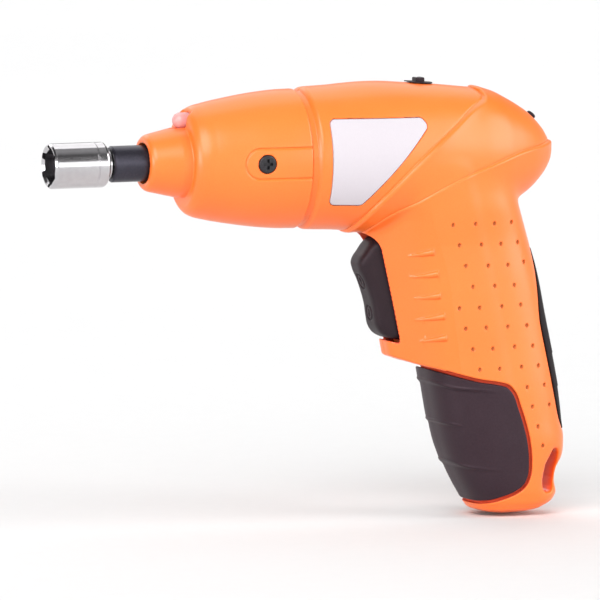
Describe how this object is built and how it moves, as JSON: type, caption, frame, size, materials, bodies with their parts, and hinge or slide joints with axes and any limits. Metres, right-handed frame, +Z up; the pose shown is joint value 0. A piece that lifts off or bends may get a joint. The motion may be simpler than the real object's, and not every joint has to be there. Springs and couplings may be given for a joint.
{
  "type": "electric screwdriver",
  "caption": "Pistol-grip cordless screwdriver with a hex bit holder and socket, rocker trigger, planetary gearbox, motor and rechargeable cells in a split handle.",
  "frame": {"origin": "centre of the bit holder's front face, on the spindle axis", "axes": "-X out of the nose along the spindle, +X to the back of the tool, +Y to the tool's right-hand side seen from behind, +Z up, away from the handle's foot"},
  "size_m": [0.1676, 0.0406, 0.1357],
  "materials": {
    "orange_plastic": "satin moulded plastic, bright orange",
    "black_plastic": "satin black moulding",
    "black_rubber": "soft matte overmould",
    "white_plate": "smooth white plate",
    "black_steel": "black oxide",
    "chrome_steel": "bright plated",
    "steel": "machined",
    "bronze": "sintered bronze",
    "copper": "enamelled wire",
    "magnet": "ferrite",
    "carbon": "carbon",
    "clear_lens": "clear lamp body",
    "board": "green circuit board",
    "cell": "nickel-plated cell",
    "red_lead": "insulated lead",
    "gear_plastic": "natural acetal"
  },
  "bodies": {
    "housing": {"left_shell": "orange_plastic", "right_shell": "orange_plastic", "nose_housing": "orange_plastic", "left_badge": "white_plate", "right_badge": "white_plate", "left_grip_pad": "black_rubber", "right_grip_pad": "black_rubber", "left_back_strip": "black_rubber", "right_back_strip": "black_rubber", "shell_screws": "black_steel", "nose_screws": "black_steel", "spindle_bush": "bronze", "thrust_washer": "steel", "ring_gear": "steel", "gearbox_plate": "steel", "gearbox_screws": "black_steel", "motor_screws": "black_steel", "motor_can": "steel", "motor_magnets": "magnet", "motor_end_cap": "black_plastic", "motor_brushes": "carbon", "motor_bushes": "bronze", "battery_cells": "cell", "battery_straps": "steel", "switch_body": "black_plastic", "upper_return_spring": "steel", "lower_return_spring": "steel", "trigger_pin": "steel", "charge_jack": "black_plastic", "charge_board": "board", "charge_indicator": "black_plastic", "work_light": "clear_lens", "light_switch_body": "black_plastic", "led_wires": "red_lead", "motor_wires": "red_lead", "battery_wires": "red_lead", "board_wires": "red_lead", "charge_wires": "red_lead"},
    "spindle": {"spindle": "black_steel", "holder_magnet": "magnet", "output_planet_pins": "steel"},
    "socket_set": {"socket": "chrome_steel", "socket_adapter": "chrome_steel"},
    "first_carrier": {"first_carrier": "steel", "first_planet_pins": "steel"},
    "rotor": {"motor_pinion": "steel", "motor_shaft": "steel", "armature_core": "steel", "armature_windings": "copper", "commutator": "copper"},
    "output_planet_a": {"output_planet_a": "steel"},
    "output_planet_b": {"output_planet_b": "steel"},
    "output_planet_c": {"output_planet_c": "steel"},
    "first_planet_a": {"first_planet_a": "gear_plastic"},
    "first_planet_b": {"first_planet_b": "gear_plastic"},
    "first_planet_c": {"first_planet_c": "gear_plastic"},
    "trigger": {"trigger": "black_plastic"},
    "switch_slider": {"switch_slider": "black_plastic"},
    "light_switch_knob": {"light_switch_knob": "black_plastic"}
  },
  "joints": [
    {"name": "rotor_spin", "type": "hinge", "parent": "housing", "child": "rotor", "pos_m": [0.067, 0, 0], "axis": [1, 0, 0], "continuous": true},
    {"name": "first_carrier_spin", "type": "hinge", "parent": "housing", "child": "first_carrier", "pos_m": [0.0445, 0, 0], "axis": [1, 0, 0], "continuous": true},
    {"name": "spindle_spin", "type": "hinge", "parent": "housing", "child": "spindle", "pos_m": [0.018, 0, 0], "axis": [1, 0, 0], "continuous": true},
    {"name": "first_planet_a_spin", "type": "hinge", "parent": "first_carrier", "child": "first_planet_a", "pos_m": [0.0485, 0, 0.00675], "axis": [1, 0, 0], "continuous": true},
    {"name": "first_planet_b_spin", "type": "hinge", "parent": "first_carrier", "child": "first_planet_b", "pos_m": [0.0485, -0.00585, -0.00337], "axis": [1, 0, 0], "continuous": true},
    {"name": "first_planet_c_spin", "type": "hinge", "parent": "first_carrier", "child": "first_planet_c", "pos_m": [0.0485, 0.00585, -0.00337], "axis": [1, 0, 0], "continuous": true},
    {"name": "output_planet_a_spin", "type": "hinge", "parent": "spindle", "child": "output_planet_a", "pos_m": [0.0397, 0, 0.00675], "axis": [1, 0, 0], "continuous": true},
    {"name": "output_planet_b_spin", "type": "hinge", "parent": "spindle", "child": "output_planet_b", "pos_m": [0.0397, -0.00585, -0.00337], "axis": [1, 0, 0], "continuous": true},
    {"name": "output_planet_c_spin", "type": "hinge", "parent": "spindle", "child": "output_planet_c", "pos_m": [0.0397, 0.00585, -0.00337], "axis": [1, 0, 0], "continuous": true},
    {"name": "socket_pull", "type": "slide", "parent": "spindle", "child": "socket_set", "axis": [-1, 0, 0], "range_m": [0, 0.025]},
    {"name": "trigger_rock", "type": "hinge", "parent": "housing", "child": "trigger", "pos_m": [0.094, 0, -0.04], "axis": [0, 1, 0], "range_deg": [-4, 4], "stiffness_Nm_per_rad": 0.6},
    {"name": "switch_slide", "type": "slide", "parent": "housing", "child": "switch_slider", "axis": [0, 0, 1], "range_m": [-0.0006, 0.0006], "deforming": ["upper_return_spring", "lower_return_spring"]},
    {"name": "light_switch_slide", "type": "slide", "parent": "housing", "child": "light_switch_knob", "axis": [0.9968, 0, -0.0799], "range_m": [-0.003, 0]}
  ],
  "couplings": [
    {"joint": "first_carrier_spin", "follows": "rotor_spin", "ratio": 0.16667},
    {"joint": "spindle_spin", "follows": "rotor_spin", "ratio": 0.027778},
    {"joint": "first_planet_a_spin", "follows": "rotor_spin", "ratio": -0.41667},
    {"joint": "first_planet_b_spin", "follows": "rotor_spin", "ratio": -0.41667},
    {"joint": "first_planet_c_spin", "follows": "rotor_spin", "ratio": -0.41667},
    {"joint": "output_planet_a_spin", "follows": "rotor_spin", "ratio": -0.069444},
    {"joint": "output_planet_b_spin", "follows": "rotor_spin", "ratio": -0.069444},
    {"joint": "output_planet_c_spin", "follows": "rotor_spin", "ratio": -0.069444},
    {"joint": "switch_slide", "follows": "trigger_rock", "m_per_rad": -0.008}
  ]
}
